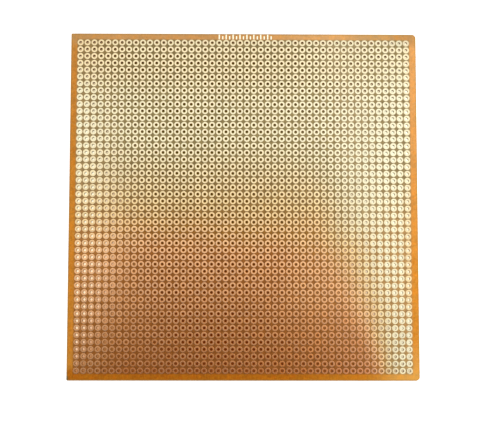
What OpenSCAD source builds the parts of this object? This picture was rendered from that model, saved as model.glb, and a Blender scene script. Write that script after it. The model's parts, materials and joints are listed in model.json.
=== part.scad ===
// Prototype board: a single-sided phenolic paper board with a square grid of lead holes,
// a separate copper pad round each hole, and a row of etched tick marks in one margin.
// The board lies flat, copper side up. The origin is at the middle of its underside.

/* [Hole grid] */
// Number of holes along X
hole_columns = 48; // [30:1:60]
// Number of holes along Y, which is also the number of pad rows
hole_rows = 48; // [12:1:56]
// Distance from one hole to the next, both ways
hole_pitch = 2.54; // [2.5:0.01:3.2]
// Diameter of a lead hole, the same in the laminate and in the pad
hole_d = 1.0; // [0.7:0.05:1.3]

/* [Laminate] */
// Thickness of the laminate
laminate_t = 1.6; // [0.8:0.1:3.2]
// From the centres of the first column of holes to the left edge of the board
left_margin = 3.4; // [2:0.1:12]
// From the centres of the last column of holes to the right edge
right_margin = 3.6; // [2:0.1:12]
// From the centres of the first row of holes to the front edge
front_margin = 3.5; // [2:0.1:12]
// From the centres of the last row of holes to the rear edge, past the tick marks
rear_margin = 3.3; // [3.3:0.1:12]
// Radius of the two corners on the left, which were cut nearly square
left_corner_r = 0.3; // [0.1:0.1:3]
// Radius of the two corners on the right, which are worn round
right_corner_r = 1.4; // [0.1:0.1:3]

/* [Copper] */
// Thickness of the copper foil
foil_t = 0.035; // [0.018:0.001:0.105]
// Outer diameter of a pad
pad_d = 2.25; // [1.7:0.05:2.3]

/* [Tick marks] */
// Number of tick marks, half a hole pitch apart
tick_count = 16; // [2:1:24]
// Width of a tick mark
tick_w = 0.45; // [0.2:0.05:0.8]
// Length of the long tick marks, which take every second place
long_tick = 1.8; // [1.3:0.1:1.8]
// Length of the short tick marks between them
short_tick = 1.2; // [0.4:0.1:1.2]
// Gap between the last row of pads and the tick marks
tick_gap = 0.2; // [0.1:0.05:0.25]

/* [Hidden] */
// How far a drill runs past each face of the laminate
drill_past = 1;
grid_w = (hole_columns - 1) * hole_pitch;
grid_h = (hole_rows - 1) * hole_pitch;
board_w = grid_w + left_margin + right_margin;
board_h = grid_h + front_margin + rear_margin;
// Where the middle of the hole grid lies, seen from the middle of the board
grid_x = (left_margin - right_margin) / 2;
grid_y = (front_margin - rear_margin) / 2;
tick_foot_y = row_y(hole_rows) + pad_d / 2 + tick_gap;
tick_pitch = hole_pitch / 2;
$fn = 72;

function pad_row_name(row) = str("pad_row_", row < 10 ? "0" : "", row);
function column_x(column) = grid_x + (column - 1) * hole_pitch - grid_w / 2;
function row_y(row) = grid_y + (row - 1) * hole_pitch - grid_h / 2;

// What is cut away to round one corner: x_side and y_side are -1 or 1
module corner_cut(x_side, y_side, r) {
    translate([x_side * board_w / 2, y_side * board_h / 2])
        difference() {
            square(2 * r, center = true);
            translate([-x_side * r, -y_side * r]) circle(r);
        }
}

module board_outline() {
    difference() {
        square([board_w, board_h], center = true);
        for (y_side = [-1, 1]) {
            corner_cut(-1, y_side, left_corner_r);
            corner_cut(1, y_side, right_corner_r);
        }
    }
}

// The drills for one row of lead holes
module row_of_drills(row) {
    for (column = [1 : hole_columns])
        translate([column_x(column), row_y(row), -drill_past])
            cylinder(d = hole_d, h = laminate_t + 2 * drill_past);
}

module laminate() {
    color("peru")
        difference() {
            linear_extrude(laminate_t) board_outline();
            for (row = [1 : hole_rows]) row_of_drills(row);
        }
}

// One row of pads, each a ring of foil round its own lead hole
module pad_row(row) {
    color("bisque")
        translate([0, row_y(row), laminate_t])
            linear_extrude(foil_t)
                for (column = [1 : hole_columns])
                    translate([column_x(column), 0])
                        difference() {
                            circle(d = pad_d);
                            circle(d = hole_d);
                        }
}

// Plain tick marks of foil in the rear margin, long and short by turns
module edge_ticks() {
    color("bisque")
        translate([0, tick_foot_y, laminate_t])
            linear_extrude(foil_t)
                for (tick = [1 : tick_count])
                    translate([grid_x + (tick - tick_count / 2) * tick_pitch - tick_w / 2, 0])
                        square([tick_w, tick % 2 == 1 ? long_tick : short_tick]);
}

laminate();
edge_ticks();
for (row = [1 : hole_rows])
    pad_row(row);
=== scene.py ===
"""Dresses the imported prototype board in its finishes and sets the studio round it.

The board is a sheet of phenolic paper laminate with a copper pad at each lead hole.
Lengths are in metres, in the frame's own axes: +Z is up out of the copper side. Positions in
the node trees are in millimetres from the middle of the hole grid, as place() gives them.
"""

import json
import math

import bpy
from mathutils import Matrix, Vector


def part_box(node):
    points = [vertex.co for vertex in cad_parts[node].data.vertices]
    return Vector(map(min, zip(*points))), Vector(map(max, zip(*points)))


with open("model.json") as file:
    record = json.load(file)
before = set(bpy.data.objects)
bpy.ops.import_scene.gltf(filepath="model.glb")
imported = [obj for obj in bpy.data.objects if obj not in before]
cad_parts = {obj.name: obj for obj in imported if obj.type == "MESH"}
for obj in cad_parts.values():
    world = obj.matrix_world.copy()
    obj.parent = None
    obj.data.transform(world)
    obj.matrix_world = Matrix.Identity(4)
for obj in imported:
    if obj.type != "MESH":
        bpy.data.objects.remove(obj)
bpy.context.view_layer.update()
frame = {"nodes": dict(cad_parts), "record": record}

MM = 0.001

# ---- The board's own sizes, read from the frame ----------------------------------------
PAD_ROWS = sorted(name for name in frame["nodes"] if name.startswith("pad_row_"))
laminate_low, laminate_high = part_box("laminate")
first_row_low, first_row_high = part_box(PAD_ROWS[0])
last_row_low, last_row_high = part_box(PAD_ROWS[-1])

# in metres: the middle of the hole grid, and the top of the foil
GRID_X = (first_row_low.x + first_row_high.x) / 2
GRID_Y = (first_row_low.y + last_row_high.y) / 2
COPPER_TOP = first_row_high.z

# in millimetres: one hole and its pad, then the field of pads and the edges from the grid's middle
HOLE_PITCH = (last_row_low.y - first_row_low.y) / (len(PAD_ROWS) - 1) / MM
PAD_RADIUS = (first_row_high.y - first_row_low.y) / 2 / MM
HOLE_RADIUS = next(m["dims"]["r_mm"] for m in frame["record"]["mounts"] if m["kind"] == "bore")
FIELD_HALF = (last_row_high.y - first_row_low.y) / 2 / MM
LEFT_EDGE = (laminate_low.x - GRID_X) / MM
RIGHT_EDGE = (laminate_high.x - GRID_X) / MM
FRONT_EDGE = (laminate_low.y - GRID_Y) / MM
REAR_EDGE = (laminate_high.y - GRID_Y) / MM


# ---- Small helpers for building node trees ----------------------------------------------
class Tree:
    """A node tree with short calls: each returns the new node's output socket."""

    def __init__(self, tree):
        self.tree = tree

    def node(self, kind, **settings):
        made = self.tree.nodes.new(kind)
        for name, value in settings.items():
            setattr(made, name, value)
        return made

    def feed(self, socket, value):
        """Links a socket to this one, or sets its value. A colour may leave out its alpha."""
        if value is None:
            return
        if isinstance(value, bpy.types.NodeSocket):
            self.tree.links.new(value, socket)
        elif socket.type == "RGBA" and len(value) == 3:
            socket.default_value = (*value, 1.0)
        else:
            socket.default_value = value

    def math(self, operation, a, b=None, c=None, clamp=False):
        made = self.node("ShaderNodeMath", operation=operation, use_clamp=clamp)
        for socket, value in zip(made.inputs, (a, b, c)):
            self.feed(socket, value)
        return made.outputs[0]

    def add(self, first, *others):
        for other in others:
            first = self.math("ADD", first, other)
        return first

    def times(self, first, *others):
        for other in others:
            first = self.math("MULTIPLY", first, other)
        return first

    def times_plus(self, value, factor, more):
        return self.math("MULTIPLY_ADD", value, factor, more)

    def minus(self, a, b):
        return self.math("SUBTRACT", a, b)

    def rest(self, share):
        """What the share leaves of 1."""
        return self.math("SUBTRACT", 1.0, share)

    def over(self, a, b):
        return self.math("DIVIDE", a, b)

    def larger(self, a, b):
        return self.math("MAXIMUM", a, b)

    def smaller(self, a, b):
        return self.math("MINIMUM", a, b)

    def absolute(self, value):
        return self.math("ABSOLUTE", value)

    def vector(self, operation, a, b=None, scale=None):
        made = self.node("ShaderNodeVectorMath", operation=operation)
        self.feed(made.inputs[0], a)
        if operation == "SCALE":
            self.feed(made.inputs["Scale"], scale)
        elif b is not None:
            self.feed(made.inputs[1], b)
        return made.outputs["Value" if operation in ("LENGTH", "DOT_PRODUCT") else "Vector"]

    def split(self, vector):
        made = self.node("ShaderNodeSeparateXYZ")
        self.feed(made.inputs[0], vector)
        return made.outputs

    def join(self, x, y):
        made = self.node("ShaderNodeCombineXYZ")
        for socket, value in zip(made.inputs, (x, y)):
            self.feed(socket, value)
        return made.outputs[0]

    def ramp(self, value, low, high, start=0.0, end=1.0, shape="SMOOTHSTEP"):
        """A smooth step, or a straight one with LINEAR: start up to low, end from high on."""
        made = self.node("ShaderNodeMapRange", interpolation_type=shape)
        for socket, number in zip(made.inputs, (value, low, high, start, end)):
            self.feed(socket, number)
        return made.outputs[0]

    def noise(self, vector, scale, detail=2.0, roughness=0.5):
        made = self.node("ShaderNodeTexNoise")
        self.feed(made.inputs["Vector"], vector)
        self.feed(made.inputs["Scale"], scale)
        self.feed(made.inputs["Detail"], detail)
        self.feed(made.inputs["Roughness"], roughness)
        return made.outputs["Fac"]

    def mix(self, factor, a, b):
        """Mixes two colours."""
        made = self.node("ShaderNodeMix", data_type="RGBA")
        self.feed(made.inputs["Factor"], factor)
        self.feed(made.inputs["A"], a)
        self.feed(made.inputs["B"], b)
        return made.outputs["Result"]

    def palette(self, value, stops):
        """Blends from one stop to the next. Each stop is a value from 0 to 1 and its colour."""
        made = self.node("ShaderNodeValToRGB")
        elements = made.color_ramp.elements
        while len(elements) < len(stops):
            elements.new(1.0)
        for element, (position, colour) in zip(elements, stops):
            element.position = position
            element.color = (*colour, 1.0)
        self.feed(made.inputs["Fac"], value)
        return made.outputs["Color"]

    def bump(self, height, strength, distance):
        """A normal that follows this height. The distance is what a height of 1 stands for."""
        made = self.node("ShaderNodeBump")
        self.feed(made.inputs["Strength"], strength)
        self.feed(made.inputs["Distance"], distance)
        self.feed(made.inputs["Height"], height)
        return made.outputs["Normal"]

    def use(self, group, **values):
        """Places a node group, with its inputs given by name."""
        made = self.node("ShaderNodeGroup", node_tree=group)
        for name, value in values.items():
            self.feed(made.inputs[name.replace("_", " ")], value)
        return made.outputs


def new_group(name, inputs, outputs):
    """An empty shader group with these sockets: (name, kind, default) in, (name, kind) out."""
    group = bpy.data.node_groups.new(name, "ShaderNodeTree")
    for socket_name, kind, default in inputs:
        socket = group.interface.new_socket(
            socket_name, in_out="INPUT", socket_type="NodeSocket" + kind)
        if default is not None:
            socket.default_value = default
    for socket_name, kind in outputs:
        group.interface.new_socket(socket_name, in_out="OUTPUT", socket_type="NodeSocket" + kind)
    tree = Tree(group)
    given = tree.node("NodeGroupInput").outputs
    out = tree.node("NodeGroupOutput").inputs
    return group, tree, given, out


def new_material(name):
    """A material with only a Principled shader. Returns it, its tree and the shader's inputs."""
    material = bpy.data.materials.new(name)
    material.use_nodes = True
    tree = Tree(material.node_tree)
    shader = material.node_tree.nodes["Principled BSDF"]
    return material, tree, shader.inputs


def place(tree):
    """Where a point lies, in millimetres from the middle of the hole grid."""
    coordinates = tree.node("ShaderNodeTexCoord").outputs["Object"]
    from_grid = tree.vector("SUBTRACT", coordinates, (GRID_X, GRID_Y, 0.0))
    return tree.vector("SCALE", from_grid, scale=1 / MM)


# ---- Effects that more than one finish uses ---------------------------------------------
def inside_edges_group():
    """How far inside the nearest edge of the board a point lies, in millimetres."""
    group, tree, given, out = new_group(
        "inside_edges",
        [("Place", "Vector", None)],
        [("Distance", "Float")],
    )
    x, y, _ = tree.split(given["Place"])
    from_sides = tree.smaller(tree.minus(x, LEFT_EDGE), tree.minus(RIGHT_EDGE, x))
    from_ends = tree.smaller(tree.minus(y, FRONT_EDGE), tree.minus(REAR_EDGE, y))
    tree.feed(out["Distance"], tree.smaller(from_sides, from_ends))
    return group


def hole_grid_group():
    """Where a point stands in its own cell of the hole grid, and a random colour per cell."""
    group, tree, given, out = new_group(
        "hole_grid",
        [("Place", "Vector", None), ("Pitch", "Float", HOLE_PITCH)],
        [
            ("Radius", "Float"),
            ("Offset", "Vector"),
            ("Cell Random", "Color"),
            ("Cell Value", "Float"),
        ],
    )
    x, y, _ = tree.split(given["Place"])
    in_cells = tree.join(tree.over(x, given["Pitch"]), tree.over(y, given["Pitch"]))
    cell = tree.vector("FLOOR", in_cells)
    middle = tree.vector("ADD", cell, (0.5, 0.5, 0.0))
    offset = tree.vector("SCALE", tree.vector("SUBTRACT", in_cells, middle), scale=given["Pitch"])
    white = tree.node("ShaderNodeTexWhiteNoise", noise_dimensions="3D")
    tree.feed(white.inputs["Vector"], cell)
    tree.feed(out["Radius"], tree.vector("LENGTH", offset))
    tree.feed(out["Offset"], offset)
    tree.feed(out["Cell Random"], white.outputs["Color"])
    tree.feed(out["Cell Value"], white.outputs["Value"])
    return group


def mottle_group():
    """Soft blotches with finer ones in them, from 0 to 1 about a middle of 0.5."""
    group, tree, given, out = new_group(
        "mottle",
        [
            ("Place", "Vector", None),
            ("Size", "Float", 8.0),
            ("Fine Size", "Float", 0.8),
            ("Fine Share", "Float", 0.5),
        ],
        [("Value", "Float")],
    )
    contrast = 2.2
    broad_scale = tree.over(1.0, given["Size"])
    fine_scale = tree.over(1.0, given["Fine Size"])
    broad = tree.noise(given["Place"], broad_scale, detail=3.0, roughness=0.55)
    fine = tree.noise(given["Place"], fine_scale, detail=2.0, roughness=0.6)
    fine_part = tree.times(tree.minus(fine, 0.5), given["Fine Share"])
    broad_part = tree.times(tree.minus(broad, 0.5), tree.rest(given["Fine Share"]))
    stretched = tree.times(tree.add(fine_part, broad_part), contrast)
    tree.feed(out["Value"], tree.math("ADD", stretched, 0.5, clamp=True))
    return group


# dim oval patches of light under the board: the middle, the reach both ways, the strength there
LIGHT_PATCHES = [
    ((36.0, 62.0), (19.0, 32.0), 0.20),
    ((14.0, 24.0), (30.0, 36.0), 0.035),
    ((30.0, -38.0), (32.0, 27.0), 0.060),
    ((-38.0, -50.0), (22.0, 24.0), 0.045),
]


def side_light_group():
    """How much light creeps in under the board, mostly from its left and right, from 0 to 1."""
    group, tree, given, out = new_group(
        "side_light",
        [("Place", "Vector", None)],
        [("Amount", "Float")],
    )
    x, y, _ = tree.split(given["Place"])

    def fading(past, fade):
        """1 where past is 0, and e times less for each length of fade farther in."""
        return tree.math("EXPONENT", tree.over(past, fade))

    def from_one_side(outward, start, fade, deepest, bow, power):
        """It reaches deepest at one place along the edge, and bows back toward both ends."""
        behind = tree.over(tree.minus(y, deepest), REAR_EDGE - deepest)
        before = tree.over(tree.minus(y, deepest), FRONT_EDGE - deepest)
        bowed = tree.times(tree.math("POWER", tree.larger(behind, before), power), bow)
        past = tree.minus(tree.minus(outward, start), bowed)
        return fading(past, fade)

    # the two sides, dimmer near three of the corners
    left = from_one_side(
        tree.times(x, -1.0), start=48.6, fade=4.8, deepest=-8.0, bow=16.8, power=2.3)
    left_front = tree.ramp(y, -62.0, -52.0, 0.45, 1.0)
    left_rear = tree.ramp(y, 44.0, 56.0, 1.0, 0.7)
    left = tree.times(left, left_front, left_rear)
    right = from_one_side(x, start=41.0, fade=7.8, deepest=0.5, bow=23.4, power=2.2)
    right = tree.times(right, tree.ramp(y, 50.0, 56.0, 1.0, 0.72))

    # less from the rear edge, but more at its right end, and a trace from the front edge
    rear = fading(tree.minus(y, 64.2), 2.1)
    rear = tree.times(rear, tree.ramp(x, 50.0, 56.0, 1.0, 6.5))
    front = fading(tree.minus(y, -69.0), -3.0)
    elsewhere = tree.add(rear, front)
    for middle, reach, strength in LIGHT_PATCHES:
        away = tree.vector("SUBTRACT", given["Place"], (*middle, 0.0))
        away = tree.vector("MULTIPLY", away, (1 / reach[0], 1 / reach[1], 0.0))
        patch = tree.ramp(tree.vector("LENGTH", away), 0.0, 1.0, strength, 0.0)
        elsewhere = tree.add(elsewhere, patch)

    # the column of holes next to the right edge gets some more
    last_column = fading(tree.minus(x, 63.3), 2.0)
    last_column = tree.times(last_column, tree.ramp(y, -40.0, -20.0, 0.6, 1.0))

    light = tree.add(tree.add(left, right), tree.add(elsewhere, last_column))
    dark = tree.math("EXPONENT", tree.times(light, -1.0))
    tree.feed(out["Amount"], tree.rest(dark))
    return group


def painted_reflection_group():
    """Painted reflection on the board, strongest toward the rear and the right, from 0 to 1."""
    group, tree, given, out = new_group(
        "fresh",
        [("Place", "Vector", None)],
        [("Amount", "Float")],
    )
    x, y, _ = tree.split(given["Place"])

    # the lines along which it changes wander to and fro by a few millimetres
    wander_scale, wander_reach = 0.04, 9.0
    wander = tree.times(tree.minus(tree.noise(given["Place"], wander_scale), 0.5), wander_reach)

    # from front to rear: slowly at first, then quickly across the middle
    slow = tree.ramp(y, -57.0, -22.0, 0.0, 0.22, shape="LINEAR")
    wandering = tree.add(y, wander)
    bent_part = tree.ramp(wandering, -23.5, 2.5, 0.0, 0.485)
    straight_part = tree.ramp(wandering, 0.0, 24.0, 0.0, 0.295, shape="LINEAR")
    quick = tree.add(bent_part, straight_part)

    # from left to right: a little along the left edge, and most of it along a slanted line on the
    # right, where it changes more sharply near the front
    left = tree.ramp(x, -60.0, -40.0, 0.16, 0.0)
    slant = 0.28
    slanted = tree.add(x, tree.times(y, slant), wander)
    right = tree.ramp(slanted, 23.0, 46.0, 0.0, 0.94)
    sharper = tree.ramp(slanted, 26.5, 42.0)
    in_front = tree.ramp(y, -50.0, -38.0, 1.0, 0.0)
    right = tree.add(right, tree.times(in_front, tree.minus(sharper, right)))

    unreflected = tree.rest(tree.add(slow, quick))
    unreflected = tree.times(unreflected, tree.rest(left), tree.rest(right))
    least_reflection, span = 0.045, 0.88
    most = tree.times_plus(tree.rest(unreflected), span, least_reflection)

    # paler at the rear right, and in a patch right of the middle, toward the front
    rear_right = tree.times(tree.ramp(x, 0.0, 50.0, 0.0, 0.07), tree.ramp(y, -10.0, 20.0))
    front_patch = tree.times(
        tree.ramp(x, 10.0, 24.0, 0.0, 0.07),
        tree.ramp(x, 30.0, 42.0, 1.0, 0.0),
        tree.ramp(y, -42.0, -34.0),
        tree.ramp(y, -14.0, -6.0, 1.0, 0.0),
    )
    paler = tree.add(rear_right, front_patch)

    # duller in the rear left corner, down the last column, and along the front row and rear rows
    corner = tree.times(tree.ramp(x, -62.0, -35.0, 0.12, 0.0), tree.ramp(y, 40.0, 62.0))
    last_column = tree.times(
        tree.ramp(x, 57.5, 59.5),
        tree.ramp(y, -44.0, -34.0),
        tree.ramp(y, -30.0, 30.0, 0.20, 0.05),
    )
    rear_rows = tree.ramp(y, 38.0, 50.0, 0.0, 0.07)
    front_row = tree.ramp(y, -59.5, -57.5, 0.05, 0.0)
    duller = tree.add(tree.add(corner, last_column), tree.add(rear_rows, front_row))

    tree.feed(out["Amount"], tree.minus(tree.add(most, paler), duller))
    return group


INSIDE_EDGES = inside_edges_group()
HOLE_GRID = hole_grid_group()
MOTTLE = mottle_group()
SIDE_LIGHT = side_light_group()
PAINTED_REFLECTION = painted_reflection_group()

# millimetres over which one finish gives way to the next at the edge of the field of pads
SOFT_EDGE = 0.1


# ---- Laminate -----------------------------------------------------------------------------
# two colours each: the dark blotches and the light ones
SIDE_BROWN = (0.38, 0.125, 0.004), (0.66, 0.240, 0.018)
PALER_BROWN = (0.50, 0.230, 0.065), (0.73, 0.345, 0.115)
PALEST_BROWN = (0.55, 0.265, 0.085), (0.79, 0.400, 0.155)
FRONT_BROWN = (0.30, 0.073, 0.000), (0.45, 0.125, 0.003)
UNDERSIDE_BROWN = (0.40, 0.150, 0.022), (0.58, 0.235, 0.050)
CUT_BROWN = (0.30, 0.095, 0.001), (0.45, 0.150, 0.005)

# where the border turns another colour
FRONT_LEFT_TAN = (0.38, 0.180, 0.025)
FRONT_MIDDLE_BROWN = (0.435, 0.140, 0.008)
FRONT_RIGHT_TAN = (0.585, 0.293, 0.064)
FRONT_CORNER_TAN = (0.580, 0.275, 0.058)
REAR_LEFT_TAN = (0.47, 0.235, 0.074)
REAR_RIGHT_TAN = (0.465, 0.262, 0.098)
REAR_CORNER_BROWN = (0.415, 0.200, 0.064)

# what the sheet shows between the pads where light creeps in below: on the left and on the right
FRONT_GLOW = (0.355, 0.140, 0.030), (0.372, 0.208, 0.073)
REAR_GLOW = (0.325, 0.215, 0.088), (0.235, 0.172, 0.075)

# the paper's fibres, and the values of their noise between which they come into sight
FIBRES_FROM, FIBRES_TO = 0.40, 0.62
FIBRE = (0.80, 0.40, 0.10)
FRONT_FIBRE = (0.76, 0.34, 0.015)
UNDERSIDE_FIBRE = (0.72, 0.38, 0.12)

# the marks on the sheet and the walls of the holes
PALE_STRIPE = (0.330, 0.242, 0.116)
PAD_OUTLINE = (0.40, 0.32, 0.19)
PUNCHED_OUT = (0.74, 0.50, 0.24)
DULL_RIM = (0.33, 0.195, 0.040)
CORNER_MARK = (0.13, 0.105, 0.045)
# the hole walls in painted light where light creeps in: where the painted reflection is weak, and
# where it is strong
LIT_WALL_BROWN = (0.80, 0.46, 0.28)
LIT_WALL_CREAM = (0.80, 0.74, 0.54)


def border_colour(tree, point, blotches, fibres):
    """The bare sheet round the pads: orange brown, paler along the rear and the right side with
    painted light and sheen.
    """
    x, y, _ = tree.split(point)
    paler = tree.mix(blotches, *PALER_BROWN)
    palest = tree.mix(blotches, *PALEST_BROWN)

    # the two sides turn paler toward the rear with painted light, the right one far more
    side = tree.mix(blotches, *SIDE_BROWN)
    down_right = tree.times(tree.ramp(x, 56.0, 61.0), tree.ramp(y, -36.0, 62.0))
    down_left = tree.times(tree.ramp(x, -61.0, -56.0, 0.25, 0.0), tree.ramp(y, 0.0, 62.0))
    side = tree.mix(tree.larger(down_right, down_left), side, paler)
    front_left = tree.times(
        tree.ramp(x, -60.0, -56.0, 0.4, 0.0),
        tree.ramp(y, -62.0, -44.0, 1.0, 0.0),
    )
    side = tree.mix(front_left, side, FRONT_LEFT_TAN)

    # the front, with the least painted light, is the darkest, and turns tan toward the right
    front = tree.mix(blotches, *FRONT_BROWN)
    front = tree.mix(tree.ramp(x, 12.0, 42.0), front, FRONT_MIDDLE_BROWN)
    front = tree.mix(tree.ramp(x, 42.0, 62.0, 0.0, 0.85), front, FRONT_RIGHT_TAN)

    # the rear is pale with painted sheen, but less so at both ends
    rear = tree.mix(tree.ramp(x, 0.0, 30.0), paler, palest)
    rear = tree.vector("MULTIPLY", rear, (1.0, 1.05, 1.10))
    rear = tree.mix(tree.ramp(x, -62.0, -44.0, 0.7, 0.0), rear, REAR_LEFT_TAN)
    rear = tree.mix(tree.ramp(x, 34.0, 48.0, 0.0, 0.9), rear, REAR_RIGHT_TAN)
    rear = tree.mix(tree.ramp(x, 51.0, 58.0, 0.0, 0.8), rear, REAR_CORNER_BROWN)

    in_front = tree.ramp(y, -60.5, -57.5, 1.0, 0.0)
    colour = tree.mix(in_front, side, front)
    colour = tree.mix(tree.ramp(y, 57.5, 60.5), colour, rear)
    front_corner = tree.ramp(tree.minus(x, y), 108.0, 122.0, 0.0, 0.7)
    colour = tree.mix(front_corner, colour, FRONT_CORNER_TAN)

    # fibres, and small patches that are warmer or greyer
    streak = tree.mix(in_front, FIBRE, FRONT_FIBRE)
    colour = tree.mix(tree.ramp(fibres, FIBRES_FROM, FIBRES_TO, 0.0, 0.22), colour, streak)
    patches = tree.use(MOTTLE, Place=point, Size=1.9, Fine_Size=0.5, Fine_Share=0.45)["Value"]
    tint = tree.palette(patches, [
        (0.2, (1.13, 1.03, 0.75)),
        (0.5, (1.00, 1.00, 1.00)),
        (0.8, (0.87, 0.94, 1.02)),
    ])
    return tree.vector("MULTIPLY", colour, tint)


def between_colour(tree, point, fresh, lit):
    """The sheet between the pads: the foil shuts the light out of it, so it looks darker there."""
    x, y, _ = tree.split(point)
    # the colour follows the painted reflection: red brown where it is weak, olive where it is
    # strong
    colour = tree.palette(fresh, [
        (0.0, (0.214, 0.063, 0.008)),
        (0.3, (0.278, 0.097, 0.017)),
        (0.5, (0.270, 0.120, 0.020)),
        (0.9, (0.238, 0.178, 0.070)),
    ])

    # a slightly brighter band runs across, halfway from the middle to the rear
    band = tree.times(tree.ramp(y, 12.0, 26.0, 0.0, 0.14), tree.ramp(y, 38.0, 50.0, 1.0, 0.0))
    colour = tree.vector("SCALE", colour, scale=tree.add(band, 1.0))

    # where light creeps in below, the sheet changes colour with it, but less at the front left
    to_the_right = tree.ramp(x, -40.0, 30.0)
    front_glow = tree.mix(to_the_right, *FRONT_GLOW)
    rear_glow = tree.mix(to_the_right, *REAR_GLOW)
    glow = tree.mix(tree.ramp(y, -20.0, 16.0), front_glow, rear_glow)
    past_front_left = tree.larger(tree.ramp(y, -58.0, -22.0, 0.20, 1.0), tree.ramp(x, -40.0, 0.0))
    colour = tree.mix(tree.times(lit, past_front_left), colour, glow)

    # a paler stripe runs down the right side, a little on the slant
    slant, stripe_x = 0.15, 44.5
    off_stripe = tree.absolute(tree.minus(tree.times_plus(y, slant, x), stripe_x))
    stripe = tree.times(tree.ramp(off_stripe, 2.0, 11.0, 0.85, 0.0), tree.ramp(y, -16.0, 4.0))
    colour = tree.mix(stripe, colour, PALE_STRIPE)

    # a pale line shows round each pad, most of all at the rear right
    line_width = 0.30
    radius = tree.use(HOLE_GRID, Place=point)["Radius"]
    line = tree.ramp(radius, PAD_RADIUS, PAD_RADIUS + line_width, 0.75, 0.0)
    where = tree.times(
        tree.ramp(x, -60.0, 40.0, 0.20, 1.0, shape="LINEAR"),
        tree.ramp(y, 0.0, 36.0),
    )
    colour = tree.mix(tree.times(line, where), colour, PAD_OUTLINE)

    grain = tree.noise(point, 1.1, detail=4.0, roughness=0.6)
    shade = tree.ramp(grain, 0.3, 0.7, 0.70, 1.30, shape="LINEAR")
    return tree.vector("SCALE", colour, scale=shade)


def underside_colour(tree, point, blotches, fibres):
    """The plain side: even brown, with a pale ring where the punch broke out at each hole."""
    colour = tree.mix(blotches, *UNDERSIDE_BROWN)
    shown = tree.ramp(fibres, FIBRES_FROM, FIBRES_TO, 0.0, 0.30)
    colour = tree.mix(shown, colour, UNDERSIDE_FIBRE)
    cell = tree.use(HOLE_GRID, Place=point)
    x, y, _ = tree.split(point)
    outside = tree.larger(tree.absolute(x), tree.absolute(y))
    in_field = tree.ramp(outside, FIELD_HALF, FIELD_HALF + SOFT_EDGE, 1.0, 0.0)
    narrowest, spread = 0.15, 0.30
    reach = tree.times_plus(cell["Cell Value"], spread, HOLE_RADIUS + narrowest)
    ring = tree.ramp(cell["Radius"], HOLE_RADIUS, reach, 0.75, 0.0)
    return tree.mix(tree.times(ring, in_field), colour, PUNCHED_OUT)


def corner_marks(tree, x, y):
    """Two dark marks on the left edge near the front corner, from 0 to 1."""
    along = tree.minus(y, FRONT_EDGE)
    inward = tree.minus(x, LEFT_EDGE)

    def mark(middle, narrower, core, rim, depth):
        """One mark: its place up the edge, how much it is squeezed, its two radii and its depth."""
        away = tree.join(tree.times(inward, narrower), tree.minus(along, middle))
        return tree.ramp(tree.vector("LENGTH", away), core, rim, depth, 0.0)

    lower = mark(middle=0.9, narrower=1.7, core=0.7, rim=1.3, depth=0.9)
    upper = mark(middle=2.6, narrower=1.4, core=0.2, rim=0.6, depth=0.7)
    return tree.larger(lower, upper)


def laminate_material():
    """Pressed paper and resin: mottled, with fine fibres in it and hardly any shine."""
    material, tree, shader = new_material("phenolic_laminate")
    point = place(tree)
    x, y, z = tree.split(point)
    blotches = tree.use(MOTTLE, Place=point, Size=9.0, Fine_Size=0.9, Fine_Share=0.55)["Value"]
    fresh = tree.use(PAINTED_REFLECTION, Place=point)["Amount"]
    lit = tree.use(SIDE_LIGHT, Place=point)["Amount"]
    inside = tree.use(INSIDE_EDGES, Place=point)["Distance"]

    # the paper's fibres, seen through the resin: two crossed sets of short streaks
    along = tree.noise(tree.vector("MULTIPLY", point, (0.9, 5.0, 1.0)), 1.0)
    across = tree.noise(tree.vector("MULTIPLY", point, (4.2, 0.8, 1.0)), 1.0)
    fibres = tree.times(tree.add(along, across), 0.5)

    # the field of pads ends in a soft line with rounded corners, just outside the last pads
    field_end = FIELD_HALF + 0.05
    rounding, softness = 0.6, 0.45
    field_x = tree.minus(field_end, tree.absolute(x))
    field_y = tree.minus(field_end, tree.absolute(y))
    inside_field = tree.math("SMOOTH_MIN", field_x, field_y, rounding)
    field = tree.ramp(inside_field, -softness, softness)
    border = border_colour(tree, point, blotches, fibres)
    colour = tree.mix(field, border, between_colour(tree, point, fresh, lit))

    # the shears left a thin, dull rim all round the sheet, and two dark marks sit by the front left
    # corner
    rim = tree.ramp(inside, 0.15, 0.60, 0.60, 0.0)
    colour = tree.mix(rim, colour, DULL_RIM)
    colour = tree.mix(corner_marks(tree, x, y), colour, CORNER_MARK)
    below = tree.ramp(z, 0.1, 0.3, 1.0, 0.0)
    colour = tree.mix(below, colour, underside_colour(tree, point, blotches, fibres))

    # the cut edges and the punched walls are darker, but the walls are bright where light creeps in
    normal = tree.node("ShaderNodeNewGeometry").outputs["Normal"]
    upright = tree.absolute(tree.split(normal)[2])
    wall = tree.ramp(upright, 0.3, 0.7, 1.0, 0.0)
    layers = tree.noise(tree.vector("MULTIPLY", point, (0.5, 0.5, 9.0)), 1.0)
    cut = tree.mix(layers, *CUT_BROWN)
    lit_hole = tree.times(lit, tree.ramp(inside, 0.3, 1.0))
    cut = tree.mix(lit_hole, cut, tree.mix(fresh, LIT_WALL_BROWN, LIT_WALL_CREAM))
    colour = tree.mix(wall, colour, cut)
    tree.feed(shader["Base Color"], colour)

    # the walls are matt
    smooth = tree.ramp(blotches, 0.0, 1.0, 0.34, 0.46)
    tree.feed(shader["Roughness"], tree.times_plus(wall, 0.4, smooth))
    shader["Specular IOR Level"].default_value = 0.12
    relief = tree.add(blotches, fibres)
    tree.feed(shader["Normal"], tree.bump(relief, strength=0.35, distance=0.02 * MM))
    return material


# ---- Copper ---------------------------------------------------------------------------------
REDDER_PAD = (0.66, 0.42, 0.26)
# the tick marks, paled by the painted reflection at the rear
TICK_METAL = (0.70, 0.690, 0.520)
WARM_TINT = (1.02, 0.84, 0.45)
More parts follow.
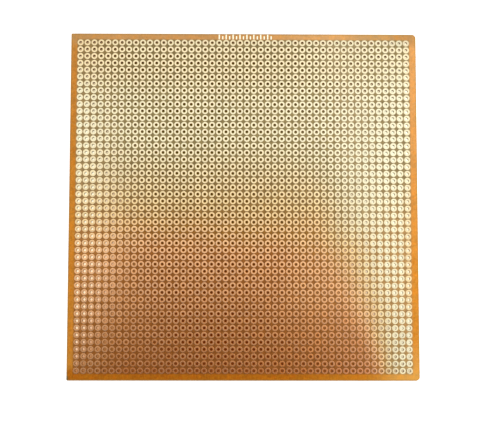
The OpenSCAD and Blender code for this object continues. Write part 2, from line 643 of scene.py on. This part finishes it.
# the painted shade at the pads' rims
RIM_SHADE = (0.26, 0.080, 0.000)

# in millimetres: the painted shade at a pad's outer rim, the painted shade round its hole, and the
# warm ring there
OUTER_RIM, INNER_RIM, WARM_RING = 0.05, 0.13, 0.34


def copper_colour(tree, point, cell, fresh, lit):
    """Copper with a painted reflection: from the brown front left corner, through bright copper and
    straw, to the near white rear.
    """
    x, y, _ = tree.split(point)
    reflection_colour = tree.palette(fresh, [
        (0.0, (0.455, 0.150, 0.029)),
        (0.09, (0.475, 0.183, 0.046)),
        (0.26, (0.588, 0.289, 0.108)),
        (0.34, (0.610, 0.326, 0.136)),
        (0.50, (0.605, 0.373, 0.156)),
        (0.66, (0.594, 0.436, 0.193)),
        (0.91, (0.604, 0.543, 0.330)),
        (1.0, (0.614, 0.582, 0.388)),
    ])
    on_pads = tree.ramp(y, FIELD_HALF, FIELD_HALF + SOFT_EDGE, 1.0, 0.0)

    # cloudy tarnish, and painted shade on the rear and front rows
    tarnish = tree.use(MOTTLE, Place=point, Size=16.0, Fine_Size=1.6, Fine_Share=0.45)["Value"]
    shade = tree.ramp(tarnish, 0.0, 1.0, 0.93, 1.07, shape="LINEAR")
    rear_row = tree.times(
        tree.ramp(y, 57.5, 59.5),
        tree.ramp(x, 50.0, 56.0, 0.09, 0.19),
        on_pads,
    )
    front_row = tree.ramp(y, -59.5, -57.5, 0.04, 0.0)
    end_rows = tree.rest(tree.add(rear_row, front_row))
    copper = tree.vector("SCALE", reflection_colour, scale=tree.times(shade, end_rows))

    # some pads are redder than their neighbours, and the tick marks at the rear, paled by painted
    # reflection, are paler than any pad
    redder = tree.times(tree.split(cell["Cell Random"])[0], 0.14)
    colour = tree.mix(redder, copper, REDDER_PAD)
    colour = tree.mix(on_pads, TICK_METAL, colour)

    # pads with little painted reflection are warmer round the hole, and both rims of each pad get
    # painted shade, less round the hole where light creeps in
    near_hole = tree.ramp(cell["Radius"], HOLE_RADIUS, HOLE_RADIUS + WARM_RING, 1.0, 0.0)
    warm = tree.times(near_hole, tree.ramp(fresh, 0.35, 0.85, 1.0, 0.0))
    colour = tree.vector("MULTIPLY", colour, tree.mix(warm, (1.0, 1.0, 1.0), WARM_TINT))
    outer_rim = tree.ramp(cell["Radius"], PAD_RADIUS - OUTER_RIM, PAD_RADIUS, 0.0, 0.35)
    inner_rim = tree.ramp(cell["Radius"], HOLE_RADIUS, HOLE_RADIUS + INNER_RIM, 0.9, 0.0)
    inner_rim = tree.times(inner_rim, tree.times_plus(lit, -0.7, 1.0))
    rim_shade = tree.times(tree.larger(outer_rim, inner_rim), on_pads)
    return tree.mix(rim_shade, colour, RIM_SHADE)


def copper_material():
    """Scrubbed copper foil under a coat of lacquer."""
    material, tree, shader = new_material("lacquered_copper")
    point = place(tree)
    cell = tree.use(HOLE_GRID, Place=point)
    fresh = tree.use(PAINTED_REFLECTION, Place=point)["Amount"]
    lit = tree.use(SIDE_LIGHT, Place=point)["Amount"]
    tree.feed(shader["Base Color"], copper_colour(tree, point, cell, fresh, lit))
    shader["Metallic"].default_value = 1.0

    # fine scrub marks, turned a little from the rows, and each pad has a gloss of its own
    scrub_turn, scrub_roughness = 0.35, 0.03
    turned = tree.node("ShaderNodeVectorRotate", rotation_type="Z_AXIS")
    tree.feed(turned.inputs["Vector"], point)
    tree.feed(turned.inputs["Angle"], scrub_turn)
    stretched = tree.vector("MULTIPLY", turned.outputs[0], (1.5, 28.0, 1.0))
    scrub = tree.noise(stretched, 1.0, detail=3.0)
    gloss = tree.ramp(tree.split(cell["Cell Random"])[1], 0.0, 1.0, 0.19, 0.25)
    tree.feed(shader["Roughness"], tree.times_plus(scrub, scrub_roughness, gloss))
    shader["Coat Weight"].default_value = 1.0
    shader["Coat Roughness"].default_value = 0.10
    shader["Coat IOR"].default_value = 1.6

    # each pad is a little proud at mid-width, rolls off at both rims and leans its own way
    mid_width, roll_off, steepest, scrub_depth = 0.78, -0.055, 0.02, 0.0006
    off_middle = tree.minus(cell["Radius"], mid_width)
    dome = tree.times(tree.math("POWER", off_middle, 2.0), roll_off)
    lean = tree.vector("SUBTRACT", cell["Cell Random"], (0.5, 0.5, 0.5))
    slope = tree.times(tree.vector("DOT_PRODUCT", lean, cell["Offset"]), steepest)
    height = tree.add(dome, tree.times_plus(scrub, scrub_depth, slope))
    tree.feed(shader["Normal"], tree.bump(height, strength=1.0, distance=1.0 * MM))
    return material


def finish_nodes():
    """Gives each CAD node the finish that its slot in the record asks for."""
    finishes = {"laminate": laminate_material(), "pad_copper": copper_material()}
    slots = {part["node"]: part["material_slot"] for part in frame["record"]["subparts"]}
    for name, node in frame["nodes"].items():
        for slot in node.material_slots:
            slot.material = finishes[slots[name]]


# ---- Studio ---------------------------------------------------------------------------------
# the camera's place, in millimetres from the middle of the hole grid at the foil, and its turn
CAMERA_RIGHT, CAMERA_BACK, CAMERA_UP = -5.34, -40.33, 407.22
CAMERA_DEGREES = (5.1355, -0.5904, 0.0754)

# the floor lies a hair under the board, and reaches far past the camera's view
FLOOR_HALF = 3.0
FLOOR_GAP = 0.05 * MM
FLOOR_COLOUR = (0.80, 0.80, 0.80)
FLOOR_GLOW = (0.65, 0.65, 0.65)
# a painted shadow: the floor's colour under the board
UNDER_BOARD_SHADOW = (0.10, 0.03, 0.004)


def camera():
    """Looks down on the board from a little in front of its middle."""
    lens = bpy.data.cameras.new("camera")
    lens.sensor_width = 36.0
    lens.lens = 84.70
    lens.clip_start = 0.01
    lens.clip_end = 20.0
    made = bpy.data.objects.new("camera", lens)
    made.location = (
        GRID_X + CAMERA_RIGHT * MM,
        GRID_Y + CAMERA_BACK * MM,
        COPPER_TOP + CAMERA_UP * MM,
    )
    made.rotation_euler = [math.radians(angle) for angle in CAMERA_DEGREES]
    bpy.context.scene.collection.objects.link(made)
    bpy.context.scene.camera = made


def plane(name, half_size, z):
    mesh = bpy.data.meshes.new(name)
    signs = [(-1, -1), (1, -1), (1, 1), (-1, 1)]
    corners = [(right * half_size, back * half_size, z) for right, back in signs]
    mesh.from_pydata(corners, [], [(0, 1, 2, 3)])
    made = bpy.data.objects.new(name, mesh)
    bpy.context.scene.collection.objects.link(made)
    return made


def floor_material():
    """A pale surface, white to the eye.

    The board lies on it and shuts most of its light out, so it shows dark through the holes,
    but bright through those near the left and right edges, where light creeps in.
    """
    material, tree, shader = new_material("pale_floor")
    point = place(tree)
    x, y, _ = tree.split(point)
    inside = tree.use(INSIDE_EDGES, Place=point)["Distance"]
    outside = tree.ramp(inside, 0.2, 0.6, 1.0, 0.0)
    # the floor's colour is a painted shadow under the board and pale outside it
    tree.feed(shader["Base Color"], tree.mix(outside, UNDER_BOARD_SHADOW, FLOOR_COLOUR))
    shader["Roughness"].default_value = 0.6
    shader["Specular IOR Level"].default_value = 0.0

    # under the board, the painted light seen through the holes: brown where the painted reflection
    # is weak, cream where it is strong
    lit = tree.use(SIDE_LIGHT, Place=point)["Amount"]
    fresh = tree.use(PAINTED_REFLECTION, Place=point)["Amount"]
    brown = tree.palette(lit, [
        (0.0, (0.132, 0.014, 0.000)),
        (0.12, (0.305, 0.100, 0.019)),
        (0.3, (0.580, 0.226, 0.080)),
        (0.65, (0.980, 0.550, 0.330)),
        (1.0, (1.100, 0.760, 0.460)),
    ])
    cream = tree.palette(lit, [
        (0.0, (0.088, 0.076, 0.006)),
        (0.3, (0.395, 0.330, 0.174)),
        (0.7, (0.740, 0.700, 0.480)),
        (1.0, (1.080, 1.100, 0.840)),
    ])
    under = tree.mix(fresh, brown, cream)
    last_column = tree.times(tree.ramp(x, 57.5, 59.0, 0.0, 0.35), tree.ramp(y, 6.0, 20.0))
    under = tree.vector("SCALE", under, scale=tree.add(last_column, 1.0))
    tree.feed(shader["Emission Color"], tree.mix(outside, under, FLOOR_GLOW))

    # the eye, gloss and glass see it glow, but the glow lights nothing
    path = tree.node("ShaderNodeLightPath").outputs
    not_glossy = tree.larger(path["Is Camera Ray"], path["Is Transmission Ray"])
    tree.feed(shader["Emission Strength"], tree.larger(not_glossy, path["Is Glossy Ray"]))

    # from below the floor isn't there, and the board's plain side gets light through it
    close = tree.ramp(path["Ray Length"], 0.15 * MM, 0.20 * MM, 1.0, 0.0, shape="LINEAR")
    from_board = tree.times(close, tree.rest(path["Is Camera Ray"]))
    backfacing = tree.node("ShaderNodeNewGeometry").outputs["Backfacing"]
    clear = tree.node("ShaderNodeMixShader")
    nodes = material.node_tree.nodes
    tree.feed(clear.inputs["Fac"], tree.larger(from_board, backfacing))
    tree.feed(clear.inputs[1], nodes["Principled BSDF"].outputs["BSDF"])
    tree.feed(clear.inputs[2], tree.node("ShaderNodeBsdfTransparent").outputs["BSDF"])
    tree.feed(nodes["Material Output"].inputs["Surface"], clear.outputs["Shader"])
    return material


def floor():
    """A wide floor just under the board."""
    made = plane("floor", FLOOR_HALF, -FLOOR_GAP)
    made.data.materials.append(floor_material())


def soft_box(name, at, aim, size, power):
    """A flat lamp that neither the camera nor the gloss sees."""
    light = bpy.data.lights.new(name, "AREA")
    light.shape = "RECTANGLE"
    light.size, light.size_y = size
    light.energy = power
    made = bpy.data.objects.new(name, light)
    made.location = at
    direction = [a - b for a, b in zip(aim, at)]
    made.rotation_euler = Vector(direction).to_track_quat("-Z", "Y").to_euler()
    made.visible_camera = False
    made.visible_glossy = False
    bpy.context.scene.collection.objects.link(made)


def soft_boxes():
    """One low on either side, the right one stronger."""
    out, up, aimed = 0.15, 0.09, 0.05
    size = (0.30, 0.05)
    soft_box("right_box", (out, 0.0, up), (aimed, 0.0, 0.0), size, power=0.34)
    soft_box("left_box", (-out, 0.0, up), (-aimed, 0.0, 0.0), size, power=0.15)


def studio_world():
    """Even light, white to the eye. The gloss alone sees bright cards overhead."""
    even = 0.45
    least_gloss = 0.30
    card_strength, right_card_strength = 1.38, 0.12

    world = bpy.data.worlds.new("studio")
    bpy.context.scene.world = world
    world.use_nodes = True
    tree = Tree(world.node_tree)
    background = world.node_tree.nodes["Background"].inputs
    direction = tree.vector("NORMALIZE", tree.node("ShaderNodeTexCoord").outputs["Generated"])
    x, y, z = tree.split(direction)

    # the cards stand at the rear, at the right and, faintly, at the left, with a dim gap between
    rear = tree.ramp(y, -0.07, 0.08)
    right = tree.ramp(tree.add(x, tree.times(y, 0.2)), 0.065, 0.135)
    left = tree.ramp(x, -0.14, -0.09, 0.15, 0.0)
    gap = tree.times(tree.rest(rear), tree.rest(tree.larger(right, left)))
    card = tree.times(tree.rest(gap), card_strength)
    cards = tree.add(card, tree.times(right, right_card_strength))
    overhead = tree.ramp(z, 0.40, 0.80)
    around = tree.ramp(z, 0.50, 0.85, 0.80, 0.0)
    gloss = tree.add(least_gloss, tree.larger(tree.times(cards, overhead), around))

    path = tree.node("ShaderNodeLightPath").outputs
    strength = tree.add(tree.times(path["Is Glossy Ray"], tree.minus(gloss, even)), even)
    background["Color"].default_value = (1, 1, 1, 1)
    tree.feed(background["Strength"], tree.larger(strength, path["Is Camera Ray"]))


finish_nodes()
camera()
floor()
soft_boxes()
studio_world()
bpy.context.scene.view_settings.view_transform = "Standard"
